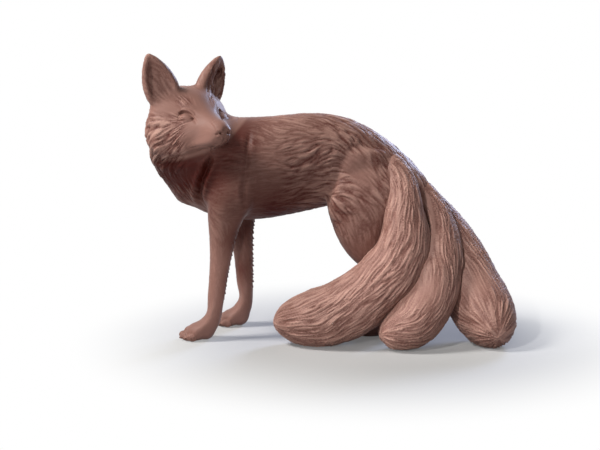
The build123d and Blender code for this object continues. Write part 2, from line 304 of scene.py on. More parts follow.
# Ears: a cupped leaf, closed all round, with a thick rim; 1 is the left one and -1 the right one
ear = {
    "root": {-1: (-2.8, 8.0, 0.0), 1: (-2.8, 6.3, 0.0)},
    "spread": {-1: 23.0, 1: 23.5},
    "turn": {-1: 25.0, 1: 18.0},
    "offset": {-1: 0.0, 1: -1.3},
    "length": {-1: 24.2, 1: 22.8},
    "share": [0.0, 0.15, 0.3, 0.45, 0.6, 0.75, 0.87, 0.95, 1.0],
    "wide": [4.6, 5.9, 6.9, 6.9, 6.2, 4.9, 3.3, 1.9, 0.7],
    "deep": [3.8, 4.4, 4.6, 4.3, 3.8, 3.1, 2.3, 1.5, 0.7],
    "hollow": {
        -1: [0.0, 0.0, 0.12, 0.36, 0.55, 0.6, 0.55, 0.2, 0.0],
        1: [0.0, 0.0, 0.0, 0.12, 0.55, 0.8, 0.75, 0.2, 0.0],
    },
    "rim": 2.3,
    "rimFade": 0.8,
    "rimTop": 0.55,
    "bowlRise": 0.25,
    "bowlDepth": 0.765,
    "levels": 64,
    "around": 72,
}


def earFrame(hand):
    reach, side, rise = ear["root"][hand]
    spread = math.radians(ear["spread"][hand])
    along = upward * math.cos(spread) + headLeft * (hand * math.sin(spread))
    swing = math.radians(ear["turn"][hand]) * hand
    opening = headForward * math.cos(swing) + headLeft * math.sin(swing)
    across = unit(np.cross(opening, along))
    front = np.cross(along, across)
    return onHead(reach, side * hand, rise), along, across, front


def makeEar(hand, name):
    root, along, across, front = earFrame(hand)
    rings = []
    for level in np.linspace(0, 1, ear["levels"]):
        wide, deep = [np.interp(level, ear["share"], ear[k]) for k in ("wide", "deep")]
        hollow = np.interp(level, ear["share"], ear["hollow"][hand])
        angle = np.linspace(0, 2 * math.pi, ear["around"], endpoint=False)
        x = wide * np.cos(angle)
        y = deep * np.sin(angle)
        # the front half is pressed in behind the rim
        off = ear["offset"][hand]
        inner = (wide - ear["rim"] - abs(off) - np.abs(x - off)) / ear["rimFade"] + 0.5
        pressed = hollow * ramp(inner, 0, 1)
        arch = np.sqrt(np.clip(1 - (x / max(wide, 0.1)) ** 2, 0, 1))
        bowl = ear["bowlRise"] * deep - ear["bowlDepth"] * deep * arch
        rimTop = np.minimum(y, ear["rimTop"] * deep)
        y = np.where(y > 0, rimTop * (1 - pressed) + np.minimum(bowl, rimTop) * pressed, y)
        middle = root + along * (level * ear["length"][hand])
        rings.append(middle + np.outer(x, across) + np.outer(y, front))
    points = np.concatenate(rings)
    around = ear["around"]
    faces = []
    for level in range(ear["levels"] - 1):
        for k in range(around):
            a, b = level * around + k, level * around + (k + 1) % around
            faces.append((a, b, b + around, a + around))
    faces.append(tuple(range(around - 1, -1, -1)))
    faces.append(tuple(range((ear["levels"] - 1) * around, ear["levels"] * around)))
    mesh = bpy.data.meshes.new(name)
    mesh.from_pydata((points * mm).tolist(), [], faces)
    piece = bpy.data.objects.new(name, mesh)
    bpy.context.scene.collection.objects.link(piece)
    pick(piece)
    editAll()
    bpy.ops.mesh.normals_make_consistent(inside=False)
    objectMode()
    return piece


# Clay laid on the head before it is fused: reach, side, rise and the three half sizes
clay = {
    "lip": [(18.3, 2.0, -9.4), (4.2, 2.9, 3.0)],
    "jaw": [(11.5, 3.0, -11.8), (8.0, 3.2, 2.9)],
    "cheekFoot": [(5.0, 9.0, -9.8), (6.6, 4.2, 5.4)],
    "ruffFoot": [(-1.2, 13.2, -11.2), (5.4, 4.7, 6.2)],
    "underEye": [(9.6, 5.6, -6.4), (5.0, 3.6, 3.8)],
    "occiput": [(-11.5, 3.0, -1.0), (7.6, 6.0, 8.4)],
    "nape": [(-12.0, 3.5, -10.5), (6.4, 6.5, 7.5)],
}
# on the chest and behind the forepaws: centre and half sizes
bodyClay = {
    "hem": [(-65.3, 3.6, 72.4), (5.6, 7.2, 5.6)],
    "throat": [(-61.6, 7.4, 67.4), (5.6, 8.0, 8.4)],
    "brisket": [(-55.3, 8.0, 60.6), (7.6, 9.0, 8.6)],
    "leftHeel": [(-49.2, -3.2, 4.2), (4.4, 4.3, 4.1)],
    "rightHeel": [(-36.8, 21.3, 4.2), (4.4, 4.3, 4.1)],
}
# laid over the roots of the tails, sloping down to the rear
rump = {"centre": (25.0, medianY, 69.2), "sizes": (16.0, 9.6, 7.2), "slope": (1, 0, -0.78)}


def layClay(name, centre, sizes, ahead, aside):
    bpy.ops.mesh.primitive_uv_sphere_add(segments=48, ring_count=24, radius=1, location=(0, 0, 0))
    lump = bpy.context.active_object
    lump.name = name
    points = readPoints(lump) * mm
    placed = np.array(centre) + np.outer(points[:, 0] * sizes[0], ahead)
    placed += np.outer(points[:, 1] * sizes[1], aside) + np.outer(points[:, 2] * sizes[2], upward)
    writePoints(lump, placed)
    return lump


bodyNodes = ["torso", "head", "left_foreleg", "right_foreleg", "left_hind_leg", "right_hind_leg"]
tailNodes = ["near_tail", "middle_tail", "outer_tail"]

skin = {"voxel": 0.39, "rounds": 5}
parts = [copyNodes(bodyNodes, "foxBody")]
parts += [makeEar(1, "earLeft"), makeEar(-1, "earRight")]
for name, ((reach, side, rise), sizes) in clay.items():
    for hand in (1, -1):
        parts.append(layClay(name, onHead(reach, side * hand, rise), sizes, headForward, headLeft))
for name, (centre, sizes) in bodyClay.items():
    parts.append(layClay(name, centre, sizes, (1, 0, 0), (0, 1, 0)))
parts.append(layClay("rump", rump["centre"], rump["sizes"], rump["slope"], (0, 1, 0)))
body = fuse(joinAs(parts, "foxBody"), skin["voxel"], skin["rounds"])
print("body fused", len(body.data.vertices))

# creases between the lumps are filled, most of all on the face, and some places evened out
skull = {"centre": head["centre"] + np.array((2.0, -3.0, -3.0)), "inner": 22, "outer": 30}
breast = {"centre": np.array((-63.0, 6.0, 64.0)), "inner": 15, "outer": 22}
fillRounds = {"face": 300, "breast": 220, "legs": 60, "ankles": 160}
evenRounds = {"cheeks": 420, "breast": 120, "ankles": 40, "all": 6}
co = readPoints(body)
reach, side, rise = headPlace(co)
onSkull = ball(co, **skull)
earTop = np.zeros(len(co))
for hand in (1, -1):
    root, along, across, front = earFrame(hand)
    rel = co - root
    up = rel @ along
    off = np.linalg.norm(rel - np.outer(up, along), axis=1)
    earTop = np.maximum(earTop, ramp(up, 5.5, 9.0) * ramp(-off, -11, -8.5))
napeSide = ramp(side, 6.5, 10.5) * ramp(-reach, -5, -1)
face = (1 - earTop) * (1 - napeSide)
fillCreases(body, onSkull * face, fillRounds["face"])
cheeks = bell(reach - 5, 10) * ramp(np.abs(side), 2.5, 5.0) * ramp(-np.abs(side), -17.5, -13.5)
cheeks *= ramp(rise, -16, -12) * ramp(-rise, -7, -1) * face
relax(body, cheeks, evenRounds["cheeks"])
onBreast = ball(co, **breast) * ramp(-rise, 13, 17)
fillCreases(body, onBreast, fillRounds["breast"])
relax(body, onBreast, evenRounds["breast"])
fillCreases(body, (1 - onSkull) * ramp(co[:, 2], 12, 20), fillRounds["legs"])
ankles = np.zeros(len(co))
for name in ("leftHeel", "rightHeel"):
    rel = (co - np.array(bodyClay[name][0])) * (1, 1, 0.6)
    ankles = np.maximum(ankles, ball(rel, 0, 8, 12) * ramp(co[:, 2], 0.3, 2.0))
fillCreases(body, ankles, fillRounds["ankles"])
relax(body, ankles, evenRounds["ankles"])
relax(body, (1 - earTop) * ramp(co[:, 2], 10, 14), evenRounds["all"])
print("creases filled")


def selectFaces(piece, wanted):
    pick(piece)
    bpy.ops.object.mode_set(mode="EDIT")
    bpy.ops.mesh.select_mode(type="FACE")
    bpy.ops.mesh.select_all(action="DESELECT")
    objectMode()
    piece.data.polygons.foreach_set("select", wanted)
    piece.data.update()


def fineFaces(piece, wanted):
    # one more cut through the faces that carry small features
    selectFaces(piece, wanted)
    bpy.ops.object.mode_set(mode="EDIT")
    bpy.ops.mesh.subdivide(number_cuts=1, smoothness=0)
    objectMode()


def faceCentres(piece):
    centres = np.empty(len(piece.data.polygons) * 3)
    piece.data.polygons.foreach_get("center", centres)
    return centres.reshape(-1, 3) / mm


def lineDistance(co, points):
    # distance to a bent line, and how far along it the nearest place is
    points = np.array(points, float)
    best = np.full(len(co), 1e9)
    along = np.zeros(len(co))
    total = len(points) - 1
    for k in range(total):
        a, b = points[k], points[k + 1]
        t = np.clip(((co - a) @ (b - a)) / ((b - a) @ (b - a)), 0, 1)
        gap = np.linalg.norm(co - a - np.outer(t, b - a), axis=1)
        along = np.where(gap < best, (k + t) / total, along)
        best = np.minimum(best, gap)
    return best, along


# Face: sizes and places in the head's frame; depths are positive both for cuts and for bulges
centres = faceCentres(body)
reach, side, rise = headPlace(centres)
inFront = (reach > 3) & (np.abs(side) < 12)
fineFaces(body, inFront & (rise > -14.5) & (rise < 7) & (centres[:, 2] > 70))
print("face refined", len(body.data.vertices))

eye = {
    "place": (8.4, 7.0, -1.6),
    "out": (0.56, 0.76, 0.32),
    "slit": (-0.78, 0.55, 0.24),
    "half": 3.2,
    "upper": 1.5,
    "lower": 2.2,
    "sink": 1.3,
    "ball": 0.95,
    "lid": 0.35,
    "lidCrease": 0.28,
    "brow": 1.0,
    "corner": 0.75,
    "lowerLid": 0.1,
    "cheekbone": 0.3,
    "tear": 0.7,
    "tearLine": [(-3.0, -0.1), (-4.4, -0.8), (-6.0, -2.0)],
}
nose = {
    "foot": -9.0,
    "half": 3.0,
    "taper": 1.7,
    "back": 19.6,
    "proud": 0.45,
    "nostril": (1.5, -7.0),
    "nostrilDepth": 0.85,
    "nostrilTop": 0.3,
    "wing": [(1.7, -7.1), (2.4, -6.9), (2.9, -7.5)],
    "wingDepth": 0.6,
    "split": 0.45,
}
mouth = {
    "line": [(23.6, 0, -11.4), (22.6, 1.9, -11.5), (20.4, 3.6, -11.7), (17, 4.8, -12.0), (13, 5.6, -12.3),
             (9.4, 6.8, -12.8)],
    "groove": 0.45,
    "jaw": 0.5,
}


def headWay(reach, side, rise):
    return unit(headForward * reach + headLeft * side + upward * rise)


def carveEye(co, nrm, hand):
    out, slit = [headWay(way[0], way[1] * hand, way[2]) for way in (eye["out"], eye["slit"])]
    slit = unit(slit - out * (slit @ out))
    brow = np.cross(out, slit) * -hand
    if brow[2] < 0:
        brow = -brow
    middle = onHead(eye["place"][0], eye["place"][1] * hand, eye["place"][2])
    rel = co - middle
    a, b, n = rel @ slit, rel @ brow, rel @ out
    facing = (nrm @ out > 0.1) & (np.abs(n) < 6) & (np.abs(a) < 9) & (np.abs(b) < 8)
    t = a / eye["half"]
    room = np.sqrt(np.clip(1 - t * t, 0.02, 1))
    # a low dome for the ball, a dark fold under the hanging upper lid, a brow above it
    dome = np.clip(1 - t**2 - ((b + 0.3) / eye["lower"]) ** 2, 0, 1)
    fold = b - eye["upper"] * room - 0.12 * a
    reach = ramp(1.12 - np.abs(t), 0.0, 0.3)
    sunk = bell(np.where(fold > 0, fold / 0.38, fold / 0.75), 1.0) * reach * (0.75 + 0.25 * t)
    move = eye["ball"] * dome**1.4 * ramp(-fold, -0.1, 0.7)
    move -= eye["sink"] * sunk
    move += eye["lid"] * bell(fold - 0.95, 0.55) * bell(a, 3.6)
    move -= eye["lidCrease"] * bell(fold - 1.9, 0.5) * bell(a - 0.4, 3.0)
    move += eye["brow"] * bell(b - 4.1 - 0.15 * a, 1.6) * bell(a - 0.8, 3.4)
    move -= eye["corner"] * bell(np.hypot((a - 2.3) / 0.9, (b + 0.1) / 1.2), 1.0)
    move -= eye["lowerLid"] * bell(b + eye["lower"] * room + 0.3, 0.5) * reach
    move += eye["cheekbone"] * bell(b + 3.6, 1.6) * bell(a, 3.5)
    tear, share = lineDistance(np.stack([a, b], 1), eye["tearLine"])
    move -= eye["tear"] * bell(tear, 0.6) * (1 - share)
    return np.outer(np.where(facing, move, 0), out)


def carveNose(u, s, r):
    # u, s and r are reach, side and rise; the two halves are alike
    aside, height = nose["nostril"]
    front = ramp(u, nose["back"] - 0.4, nose["back"] + 0.5)
    half = nose["half"] - nose["taper"] * ramp(-r, 6.2, -nose["foot"])
    pad = front * ramp(half - np.abs(s), -0.3, 0.3) * ramp(r, nose["foot"] - 0.3, nose["foot"] + 0.3)
    move = nose["proud"] * pad
    nostril = np.sqrt(((np.abs(s) - aside) / 0.65) ** 2 + ((r - height) / 0.5) ** 2)
    move -= nose["nostrilDepth"] * ramp(-nostril, -1.25, -0.5) * front
    move += nose["nostrilTop"] * bell(np.abs(s) - aside, 0.9) * bell(r - height - 1.15, 0.5) * front
    wing = lineDistance(np.stack([np.abs(s), r], 1), nose["wing"])[0]
    move -= nose["wingDepth"] * bell(wing, 0.4) * front
    return move - nose["split"] * bell(s, 0.35) * ramp(-r, 8.2, 9.4) * ramp(r, -12, -11) * front


def carveMouth(part, u, s, r, hand):
    # a groove along the lip, and the jaw set back under it
    line = mouth["line"]
    gap, share = lineDistance(part, [onHead(x, y * hand, z) for x, y, z in line])
    height = np.interp(u, [p[0] for p in line[::-1]], [p[2] for p in line[::-1]])
    below = ramp(height - r, -0.1, 0.5) * ramp(-(height - r), -4.0, -1.5)
    onJaw = ramp(u, 8.5, 12.0) * ramp(-np.abs(s), -9, -7)
    cut = mouth["groove"] * bell(gap, 0.5) * ramp(1.12 - share, 0, 0.35) + mouth["jaw"] * below * onJaw
    return np.where(hand * s > -0.4, cut, 0)


def carveFace(piece):
    co = readPoints(piece)
    nrm = readNormals(piece)
    reach, side, rise = headPlace(co)
    close = (reach > -8) & (np.abs(side) < 16) & (rise > -16) & (rise < 10) & (co[:, 2] > 70)
    part, partNrm = co[close], nrm[close]
    u, s, r = reach[close], side[close], rise[close]
    moved = carveEye(part, partNrm, 1) + carveEye(part, partNrm, -1)
    move = carveNose(u, s, r)
    for hand in (1, -1):
        move -= carveMouth(part, u, s, r, hand)
    co[close] = part + moved + partNrm * move[:, None]
    writePoints(piece, co)


carveFace(body)
print("face carved")

# Paws: x of the foremost toe, y of the middle, share of the full width
paws = {
    "left_foreleg": (-59.6, -3.2, 1.0),
    "right_foreleg": (-47.2, 21.3, 1.0),
    "left_hind_leg": (9.4, 4.3, 0.8),
    "right_hind_leg": (12.4, 20.3, 0.8),
}
# each toe's place: back from the foremost one, and across
toes = [(3.6, -4.2), (1.3, -1.6), (0.0, 1.3), (1.9, 4.0)]
# the lumps of one toe: how far behind its tip, and half sizes
toeSize = {
    "knuckle": (5.3, (3.4, 1.5, 2.75)),
    "pad": (2.3, (2.4, 1.3, 1.65)),
    "claw": (0.2, (1.4, 0.42, 0.55)),
}
pawCore = {"back": 8.2, "height": 3.3, "sizes": (5.2, 5.2, 3.7)}
pawRoom = {"ahead": 3, "aside": 8}
instep = {"back": 8.4, "height": 11.4, "drop": 1.7, "radius": 4.2}


def nearPaw(points, tip, middle, length, height):
    # which points lie in the box round one paw
    back = points[:, 0] - tip
    aside = np.abs(points[:, 1] - middle)
    return (back > -pawRoom["ahead"]) & (back < length) & (aside < pawRoom["aside"]) & (points[:, 2] < height)


def wrapped(points, lumps, blend):
    # points drawn onto the joined surface of some egg-shaped lumps
    for _ in range(4):
        fields, slopes = [], []
        for centre, sizes in lumps:
            rel = (points - centre) / sizes
            size = np.maximum(np.linalg.norm(rel, axis=1), 1e-6)
            slope = rel / sizes / size[:, None]
            steep = np.maximum(np.linalg.norm(slope, axis=1), 1e-6)
            fields.append((size - 1) / steep)
            slopes.append(slope / steep[:, None])
        fields, slopes = np.array(fields), np.array(slopes)
        share = np.exp(-(fields - fields.min(0)) / blend)
        share /= share.sum(0)
        away = unit((share[:, :, None] * slopes).sum(0))
        points = points - (share * fields).sum(0)[:, None] * away
    return points


def pawLumps(tip, middle, scale):
    narrow = np.array((1, scale, 1))
    core = np.array((tip + pawCore["back"], middle, pawCore["height"]))
    lumps = [(core, np.array(pawCore["sizes"]) * narrow)]
    for back, across in toes:
        for behind, sizes in toeSize.values():
            height = max(sizes[2] + 0.1, 1.2)
            centre = np.array((tip + back + behind, middle + across * scale, height))
            lumps.append((centre, np.array(sizes) * narrow))
    return lumps


def shapePaws(piece):
    centres = faceCentres(piece)
    wanted = np.zeros(len(centres), bool)
    for tip, middle, scale in paws.values():
        wanted |= nearPaw(centres, tip, middle, 10, 10)
    fineFaces(piece, wanted)
    co = readPoints(piece)
    for tip, middle, scale in paws.values():
        close = nearPaw(co, tip, middle, 10.5, 11)
        part = co[close]
        z = part[:, 2]
        hold = ramp(tip - part[:, 0], -10.0, -5.5) * ramp(z, 0.15, 0.9) * ramp(-z, -10.5, -8.5)
        moved = wrapped(part, pawLumps(tip, middle, scale), 0.16)
        # nothing goes through the floor
        moved[:, 2] = np.maximum(moved[:, 2], np.minimum(z, 0.1))
        co[close] = part + (moved - part) * hold[:, None]
    writePoints(piece, co)
    onPaw = np.zeros(len(co))
    for tip, middle, scale in paws.values():
        onPaw = np.maximum(onPaw, nearPaw(co, tip, middle, 10, 10))
    onPaw *= ramp(-co[:, 2], -10, -8) * ramp(co[:, 2], 0.1, 0.6)
    relax(piece, onPaw * 0.6, 2)


def bendAnkles(piece):
    # the instep drops behind the toes, so that the paw lies flat in front of the leg
    co, nrm = readPoints(piece), readNormals(piece)
    move = np.zeros(len(co))
    for name in ("left_foreleg", "right_foreleg"):
        tip, middle, scale = paws[name]
        gap = np.hypot(co[:, 0] - tip - instep["back"], co[:, 2] - instep["height"])
        front = ramp(nrm @ np.array((-0.707, 0, 0.707)), 0.1, 0.6)
        close = np.abs(co[:, 1] - middle) < pawRoom["aside"]
        move -= instep["drop"] * bell(gap, instep["radius"]) * front * close
    writePoints(piece, co + nrm * move[:, None])


bendAnkles(body)
shapePaws(body)
print("paws shaped")

# Folds seen from the side: points in x and z, depth, width. They run down the chest, behind the
# shoulder, twice across the shoulder and along under the head
folds = [
    ([(-44.8, 75.0), (-47.0, 69.8), (-49.6, 63.9), (-51.0, 57.7), (-49.6, 53.0)], 1.7, 1.0),
    ([(-31.0, 84.3), (-32.1, 71.8), (-33.3, 60.0), (-32.9, 50.0)], 0.6, 0.9),
    ([(-45.0, 72.4), (-39.0, 72.6), (-32.5, 71.2)], 0.4, 0.8),
    ([(-43.0, 69.6), (-37.0, 69.3), (-32.5, 68.4)], 0.3, 0.7),
    ([(-70.5, 72.0), (-66.0, 71.2), (-60.0, 71.6), (-53.0, 73.6), (-45.0, 76.4), (-40.0, 78.0)], 1.3, 1.5),
]
haunch = {
    "edge": [(24.5, 73.0), (20.9, 74.9), (13.6, 76.1), (8.5, 74.1), (4.7, 69.4), (3.1, 63.9), (1.2, 58.1),
             (-0.4, 52.2), (0.6, 45.0)],
    "rise": 1.0,
    "drop": 0.5,
    "rub": (12.5, 70.0),
    "rubRadius": 6.5,
    "rubRounds": 80,
}
# how deep the right side's folds are, and the ridge beside each fold: height, place and width
foldShape = {"right": 0.3, "ridge": 0.45, "ridgeOut": 2.2, "ridgeWide": 1.2}
# the left foreleg is set back a little at mid height
shin = {"back": 0.8, "height": 31, "spread": 12}


def sideFolds(piece):
    co, nrm = readPoints(piece), readNormals(piece)
    flat = co[:, [0, 2]]
    sideways = ramp(np.abs(nrm[:, 1]), 0.15, 0.5)
    move = np.zeros(len(co))
    light = np.where(co[:, 1] > medianY, foldShape["right"], 1.0)
    for line, depth, width in folds:
        gap, share = lineDistance(flat, line)
        ends = ramp(share, 0.0, 0.2) * ramp(1 - share, 0.0, 0.2) * light
        move -= depth * bell(gap, width) * ends
        ridge = bell(gap - foldShape["ridgeOut"] * width, foldShape["ridgeWide"] * width)
        move += foldShape["ridge"] * depth * ridge * ends
    line = np.array(haunch["edge"])
    gap, share = lineDistance(flat, line)
    place = np.clip((share * (len(line) - 1)).astype(int), 0, len(line) - 2)
    run = line[place + 1] - line[place]
    rel = flat - line[place]
    inner = np.sign(run[:, 0] * rel[:, 1] - run[:, 1] * rel[:, 0])
    ends = ramp(share, 0.02, 0.2) * ramp(1 - share, 0.02, 0.2)
    signed = gap * inner
    step = haunch["rise"] * ramp(signed, -0.8, 2.4) * bell(np.maximum(signed, 0), 9)
    step -= haunch["drop"] * ramp(-signed, -0.2, 0.7) * bell(np.maximum(-signed, 0), 3)
    move += step * ends
    writePoints(piece, co + nrm * (move * sideways)[:, None])


sideFolds(body)
co = readPoints(body)
rubbed = bell(np.hypot(co[:, 0] - haunch["rub"][0], co[:, 2] - haunch["rub"][1]), haunch["rubRadius"])
relax(body, rubbed * (co[:, 1] < medianY), haunch["rubRounds"])
co = readPoints(body)
onShin = (co[:, 0] < -25) * (co[:, 1] < 9) * ramp(-co[:, 2], -50, -46)
co[:, 0] += shin["back"] * bell(co[:, 2] - shin["height"], shin["spread"]) * onShin
writePoints(body, co)
print("folds cut")

# Lie of the coat on the body, seen from the side: x, z, then the way the hair runs in x and z,
# then how deep the fine hair and the tufts are cut
coat = [
    (-37, 83, 1, -0.1, 0.06, 0.03),
    (-41, 74, 1, 0.05, 0.07, 0.05),
    (-39, 64, 1, 0.0, 0.07, 0.02),
    (-38, 54, 1, -0.15, 0.07, 0.02),
    (-39, 42, 0.15, -1, 0.07, 0.03),
    (-42, 29, 0.05, -1, 0.05, 0.02),
    (-44, 15, 0.0, -1, 0.04, 0.0),
    (-50, 5, -0.5, -1, 0.0, 0.0),
    (-36, 29, 0.1, -1, 0.06, 0.03),
    (-28, 82, 1, -0.7, 0.12, 0.06),
    (-26, 72, 1, -0.2, 0.08, 0.04),
    (-26, 60, 1, 0.0, 0.07, 0.03),
    (-12, 86, 1, -0.25, 0.12, 0.10),
    (-12, 76, 1, 0.25, 0.10, 0.15),
    (-5, 72, 1, 0.45, 0.10, 0.32),
    (-5, 65.5, 1, 0.12, 0.10, 0.45),
    (-8, 59, 1, 0.02, 0.10, 0.35),
    (-17, 51, 1, 0.0, 0.12, 0.05),
    (6, 82, 1, -0.75, 0.12, 0.25),
    (15.5, 76, 0.75, -1, 0.12, 0.22),
    (11, 68.5, 0.6, -0.5, 0.06, 0.04),
    (4.3, 62, 1, -0.15, 0.10, 0.26),
    (3, 52, 0.9, -0.7, 0.10, 0.24),
    (11, 46, 0.4, -1, 0.12, 0.05),
    (12.5, 34.5, 0.5, -1, 0.06, 0.03),
    (24, 20, 0.0, -1, 0.05, 0.0),
    (14, 4, -0.5, -1, 0.0, 0.0),
    (-58, 60, 0.75, -1, 0.10, 0.30),
    (-65, 68.5, 0.4, -1, 0.10, 0.36),
    (-49, 53, 1, -0.5, 0.08, 0.10),
    (-54, 66, 0.6, -1, 0.07, 0.12),
    (22.5, 70, 0.5, -1, 0.12, 0.25),
]


def sway(co, length, tilt):
    # a few slow waves over the surface, as an angle
    count = 5
    waves = np.random.default_rng(7).normal(size=(count, 3)) * 2 * math.pi / length
    shifts = np.arange(count) * 1.7
    return tilt * np.sin(co @ waves.T + shifts).sum(1) / 2


def laidOn(nrm, direction):
    return unit(direction - nrm * (direction * nrm).sum(1)[:, None])


def turned(nrm, flow, angle):
    return flow * np.cos(angle)[:, None] + np.cross(nrm, flow) * np.sin(angle)[:, None]


# depth of the hair inside each ear
earHair = {1: 0.34, -1: 0.03}
# the head's fur: depth of the fine hair and of the tufts by place, and how much it hangs
headFur = {
    "fine": 0.02,
    "cheekFine": 0.12,
    "browFine": 0.16,
    "crownFine": 0.05,
    "cheekTuft": 0.42,
    "rearTuft": 0.75,
    "browTuft": 0.26,
    "cheekFall": 0.75,
    "rearFall": 1.3,
}
# where the head's fur begins on the neck
headSeam = {"point": np.array((-46.2, medianY, 72.0)), "normal": np.array((-0.559, 0, 0.829))}


def bodyCoat(co, nrm):
    guides = np.array(coat)
    near = ((co[:, None, [0, 2]] - guides[None, :, :2]) ** 2).sum(2)
    weight = 1 / (near + 4) ** 2.5
    weight /= weight.sum(1, keepdims=True)
    mixed = weight @ guides[:, 2:]
    direction = np.stack([mixed[:, 0], np.zeros(len(co)), mixed[:, 1]], 1)
    fine, tuft = mixed[:, 2].copy(), mixed[:, 3].copy()
    # on the head the hair runs back from the nose and falls over the cheeks
    reach, side, rise = headPlace(co)
    seam = (co - headSeam["point"]) @ headSeam["normal"]
    headShare = ramp(seam, -3, 4) * ball(co, head["centre"], 24, 30)
    back = co - onHead(24, 0, -7)
    fall = headFur["cheekFall"] * ramp(np.abs(side), 4, 11) * ramp(-rise, -1, 7)
    rear = ramp(-reach, 4, 12)
    back = unit(back) - np.outer(fall + headFur["rearFall"] * rear, upward)
    direction = unit(direction) * (1 - headShare)[:, None] + unit(back) * headShare[:, None]
    cheek = ramp(np.abs(side), 5.0, 9.5) * ramp(-rise, -2, 5) * ramp(-reach, -13, -5)
    brow = bell(rise - 4.0, 2.2) * bell(np.abs(side) - 6.5, 3.0) * bell(reach - 5.0, 4.0)
    crown = ramp(-reach, -4, 2) * ramp(rise, 0, 4)
    headFine = headFur["fine"] + headFur["cheekFine"] * np.maximum(cheek, rear)
    headFine = headFine + headFur["browFine"] * brow + headFur["crownFine"] * crown
    headTuft = headFur["cheekTuft"] * np.maximum(cheek, headFur["rearTuft"] * rear)
    headTuft = headTuft + headFur["browTuft"] * brow
    fine = fine * (1 - headShare) + headFine * headShare
    tuft = tuft * (1 - headShare) + headTuft * headShare
    # long hair inside the ears, most of it in the left one
    for hand, depth in earHair.items():
        root, along, across, front = earFrame(hand)
        rel = co - root
        up, wide = rel @ along, rel @ across
        inside = ramp(up, 5, 8) * ramp(-up, -21, -15) * ramp(-np.abs(wide), -5.5, -3.8)
        inside = inside * ramp(nrm @ front, 0.0, 0.35) * (np.abs(rel @ front) < 6)
        fan = along + np.outer(0.05 * wide, across) - 0.25 * hand * across
        direction = direction * (1 - inside)[:, None] + unit(fan) * inside[:, None]
        fine, tuft = fine + depth * inside, tuft + 1.2 * depth * inside
    # the back of each foreleg has a fringe instead
    fringed = ramp(nrm[:, 0], 0.25, 0.7) * (co[:, 0] < -20)
    fringed = fringed * ramp(co[:, 2], 12, 18) * ramp(-co[:, 2], -52, -46)
    fine, tuft = fine * (1 - fringed), tuft * (1 - fringed)
    return laidOn(nrm, direction), fine, tuft


# places below the jaw line painted darker, as painted shadow of the head on the neck and chest and painted
# shade under the belly and about the legs, seen from the side: x, z, radius, share
paintedShadows = [
    (-61.0, 67.0, 10.0, 0.5),
    (-47.0, 65.0, 13.0, 0.4),
    (-38.0, 74.0, 9.0, 0.15),
    (-22.0, 50.0, 12.0, 0.45),
    (-14.0, 62.0, 13.0, 0.12),
    (-34.0, 83.0, 9.0, 0.35),
    (12.0, 42.0, 13.0, 0.1),
    (-36.0, 40.0, 6.0, 0.3),
    (-36.0, 24.0, 6.0, 0.3),
]
# the jaw line, as x and z; the painted shadow of the head begins below it
jawLine = [(-72, -66, -60, -53, -45, -38, -30), (71.5, 71.0, 71.5, 73.5, 76.5, 81.0, 90.0)]
# how much hair and locks streak the tint with painted shade in their hollows and a paler painted highlight on
# their crests, at what depth in full, and how little is left in the painted shadow
streaks = {"hair": 0.42, "hairFull": 0.16, "lock": 0.5, "lockFull": 0.25, "shadowLoss": 1.4, "least": 0.25}


def cutFur(piece, flow, fine, tuft, voxel, comb):
    co, nrm, edges = readPoints(piece), readNormals(piece), readEdges(piece)
    cells = CellMap(co, voxel)
    hair = strands(combed(co, nrm, edges, cells, flow, *comb["hair"]))
    lock = strands(combed(co, nrm, edges, cells, flow, *comb["lock"]))
    patch = soften(rng.standard_normal(len(co)), edges, 90)
    patch = np.clip(0.75 + comb["patchy"] * patch / patch.std(), 0.1, 1.6)
    move = hair * fine + lock * tuft * patch
    writePoints(piece, co + nrm * move[:, None])
    # painted shadow: below the jaw line the tint is darkened where the head's shadow falls on the neck and
    # chest, and where shade falls under the belly and about the legs; the streaks are calmed there
    below = ramp(np.interp(co[:, 0], jawLine[0], jawLine[1]) - co[:, 2], -0.8, 1.6)
    deep = np.zeros(len(co))
    for x, z, radius, share in paintedShadows:
        deep += share * bell(np.hypot(co[:, 0] - x, co[:, 2] - z), radius) * below
    # the streaks paint shade into the hollows of the hair and locks and a paler highlight on their crests;
    # the stored value carries this painted shade and highlight with the tint
    streak = streaks["hair"] * hair * ramp(fine, 0, streaks["hairFull"])
    streak = streak + streaks["lock"] * lock * ramp(tuft, 0, streaks["lockFull"])
    left = np.clip(1 - streaks["shadowLoss"] * deep, streaks["least"], 1)
    shade = np.clip(comb["base"] + comb["tone"] * streak * left - deep, 0, 1)
    toneAndPaintedShade = piece.data.attributes.new("toneAndPaintedShade", "FLOAT", "POINT")
    toneAndPaintedShade.data.foreach_set("value", shade.astype(np.float32))


# hair that stands off the back of the forelegs in short combed teeth: depths, spacing and lie
fringe = {"left": 0.5, "right": 0.95, "spacing": 1.7, "way": (0.95, 0.0, -0.3)}


def combFringe(piece):
    co, nrm = readPoints(piece), readNormals(piece)
    y, z = co[:, 1], co[:, 2]
    back = ramp(nrm[:, 0], 0.35, 0.8) * (co[:, 0] < -20) * ramp(z, 13, 19) * ramp(-z, -47, -43)
    depth = np.where(y > medianY, fringe["right"], fringe["left"])
    lean = z + 0.5 * y + 0.5 * np.sin(1.3 * y) + 0.35 * np.sin(0.9 * z)
    tooth = (lean / fringe["spacing"]) % 1.0
    move = back * depth * ((1 - tooth) ** 1.5 - 0.25) * (0.7 + 0.3 * np.sin(2.1 * z))
    writePoints(piece, co + np.outer(move, fringe["way"]))


combFringe(body)
co, nrm = readPoints(body), readNormals(body)
flow, fine, tuft = bodyCoat(co, nrm)
bodySway = {"length": 11.0, "tilt": 0.16}
flow = turned(nrm, flow, sway(co, **bodySway))
